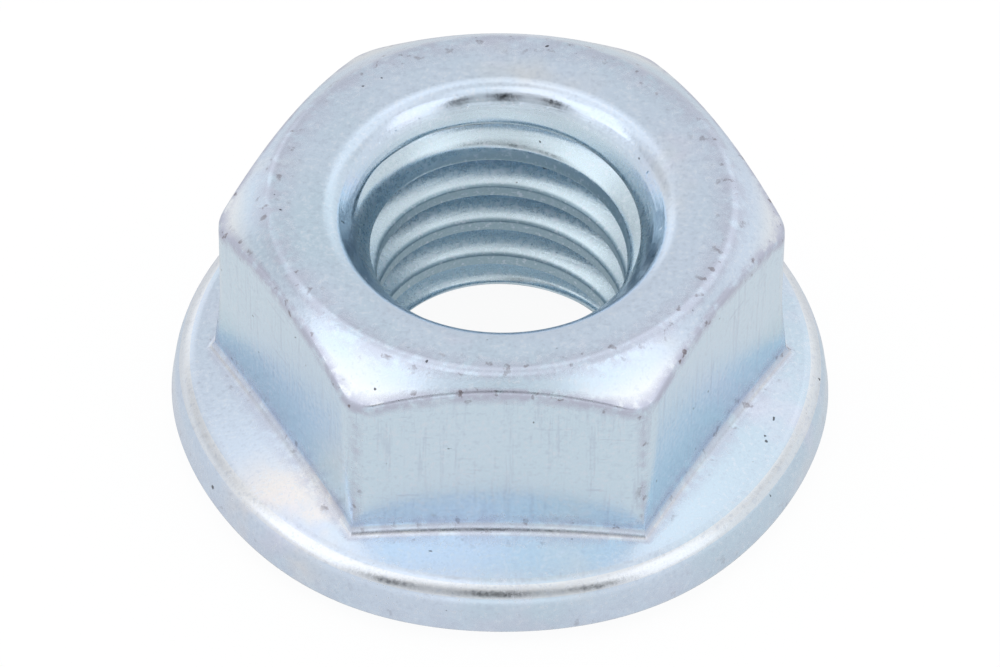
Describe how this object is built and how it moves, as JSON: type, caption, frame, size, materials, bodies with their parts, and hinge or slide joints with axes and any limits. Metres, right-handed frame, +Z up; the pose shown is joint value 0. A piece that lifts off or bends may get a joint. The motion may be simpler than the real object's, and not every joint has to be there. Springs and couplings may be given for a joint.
{
  "type": "serrated flange nut",
  "caption": "Hexagon nut with a wide built-in flange that replaces a washer, and ratchet serrations under it that bite so the joint doesn't shake loose.",
  "frame": {"origin": "centre of the bearing plane, at the tips of the serrations, on the thread axis", "axes": "+Z up the thread axis from the flange to the top face, two flats of the hexagon face +Y and -Y, two corners lie on X"},
  "size_m": [0.0132, 0.0132, 0.0058],
  "materials": {
    "zinc_plated_steel": "zinc plated and blue-white passivated, semi-bright, with soft edges, fine pits and scuffs"
  },
  "bodies": {
    "root": {"flange_nut": "zinc_plated_steel"}
  },
  "joints": []
}
